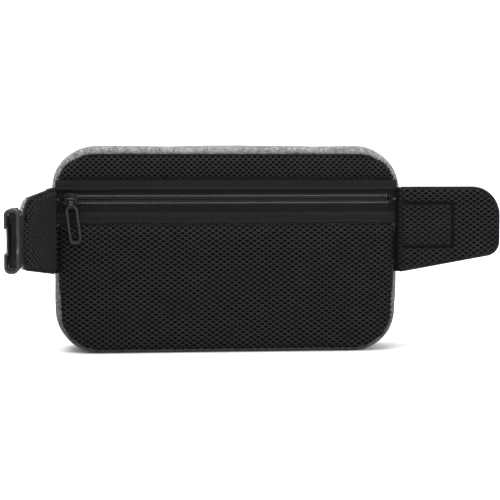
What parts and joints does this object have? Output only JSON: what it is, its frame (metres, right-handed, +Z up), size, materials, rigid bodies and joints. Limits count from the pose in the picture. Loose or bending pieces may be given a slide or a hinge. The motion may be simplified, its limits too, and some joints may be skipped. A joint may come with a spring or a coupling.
{
  "type": "waist throw rope bag",
  "caption": "Waist-worn rescue rope pouch with padded mesh back, zip pockets with long pull loops, padded belt wings and a side-release webbing buckle.",
  "frame": {"origin": "centre of the pouch's flat base", "axes": "+Z up, +X to the right when seen from the side worn against the body, -Y towards the wearer"},
  "size_m": [0.3904, 0.2006, 0.1655],
  "materials": {
    "grey_fabric": "matte",
    "black_mesh": "matte",
    "foam": "matte",
    "lining": "matte",
    "twill": "matte",
    "zip_tape": "matte",
    "piping": "matte",
    "coil": "satin",
    "slider_metal": "satin",
    "pull_loop": "satin",
    "webbing": "matte",
    "elastic": "matte",
    "buckle": "satin"
  },
  "bodies": {
    "pouch": {"body_gusset": "grey_fabric", "front_panel": "grey_fabric", "pocket_divider": "lining", "back_piping": "piping", "back_mesh_upper": "black_mesh", "back_mesh_lower": "black_mesh", "back_foam_upper": "foam", "back_foam_lower": "foam", "zip_facing_upper": "twill", "zip_facing_lower": "twill", "back_zip_tape_upper": "zip_tape", "back_zip_coil_upper": "coil", "back_zip_tape_lower": "zip_tape", "back_zip_coil_lower": "coil", "back_zip_stops": "slider_metal", "main_zip_tape_upper": "zip_tape", "main_zip_coil_upper": "coil", "main_zip_tape_lower": "zip_tape", "main_zip_coil_lower": "coil", "main_zip_stops": "slider_metal"},
    "left_wing": {"left_wing_mesh": "black_mesh", "left_wing_foam": "foam", "left_wing_cover": "grey_fabric", "left_webbing": "webbing"},
    "left_buckle": {"buckle_housing": "buckle"},
    "right_wing": {"right_wing_mesh": "black_mesh", "right_wing_foam": "foam", "right_wing_cover": "grey_fabric", "belt_strap": "webbing", "strap_keeper": "elastic"},
    "plug": {"buckle_plug_base": "buckle"},
    "latch_upper": {"latch_arm_upper": "buckle"},
    "latch_lower": {"latch_arm_lower": "buckle"},
    "back_slider_body": {"back_slider": "slider_metal"},
    "back_tab": {"back_pull_tab": "slider_metal"},
    "back_loop": {"back_pull_loop": "pull_loop"},
    "main_slider_body": {"main_slider": "slider_metal"},
    "main_tab": {"main_pull_tab": "slider_metal"},
    "main_loop": {"main_pull_loop": "pull_loop"}
  },
  "joints": [
    {"name": "left_wing_fold", "type": "hinge", "parent": "pouch", "child": "left_wing", "pos_m": [-0.13905, -0.0308, 0.1], "axis": [0, 0, 1], "range_deg": [-79, 8]},
    {"name": "left_buckle_turn", "type": "hinge", "parent": "left_wing", "child": "left_buckle", "pos_m": [-0.16255, -0.11924, 0.0975], "axis": [0, 0, 1], "range_deg": [-60, 60]},
    {"name": "right_wing_fold", "type": "hinge", "parent": "pouch", "child": "right_wing", "pos_m": [0.13905, -0.0308, 0.1], "axis": [0, 0, 1], "range_deg": [-85, 4]},
    {"name": "plug_turn", "type": "hinge", "parent": "right_wing", "child": "plug", "pos_m": [0.17405, -0.0008, 0.103], "axis": [0, 0, 1], "range_deg": [-8, 20]},
    {"name": "latch_upper_flex", "type": "hinge", "parent": "plug", "child": "latch_upper", "pos_m": [0.18445, -0.0008, 0.1165], "axis": [0, 1, 0], "range_deg": [0, 7], "stiffness_Nm_per_rad": 1},
    {"name": "latch_lower_flex", "type": "hinge", "parent": "plug", "child": "latch_lower", "pos_m": [0.18445, -0.0008, 0.0895], "axis": [0, 1, 0], "range_deg": [-7, 0], "stiffness_Nm_per_rad": 1},
    {"name": "back_slider_run", "type": "slide", "parent": "pouch", "child": "back_slider_body", "axis": [1, 0, 0], "range_m": [0, 0.249]},
    {"name": "back_tab_lift", "type": "hinge", "parent": "back_slider_body", "child": "back_tab", "pos_m": [-0.12484, -0.03275, 0.1238], "axis": [-1, 0, 0], "range_deg": [0, 120]},
    {"name": "back_loop_lift", "type": "hinge", "parent": "back_tab", "child": "back_loop", "pos_m": [-0.12484, -0.03495, 0.1184], "axis": [-1, 0, 0], "range_deg": [0, 50]},
    {"name": "main_slider_run", "type": "slide", "parent": "pouch", "child": "main_slider_body", "axis": [-1, 0, 0], "range_m": [0, 0.1975]},
    {"name": "main_tab_lift", "type": "hinge", "parent": "main_slider_body", "child": "main_tab", "pos_m": [0.0987, 0.03735, 0.118], "axis": [1, 0, 0], "range_deg": [0, 120]},
    {"name": "main_loop_lift", "type": "hinge", "parent": "main_tab", "child": "main_loop", "pos_m": [0.0987, 0.03955, 0.1126], "axis": [1, 0, 0], "range_deg": [0, 50]}
  ],
  "couplings": [
    {"joint": "latch_lower_flex", "follows": "latch_upper_flex", "ratio": -1}
  ]
}
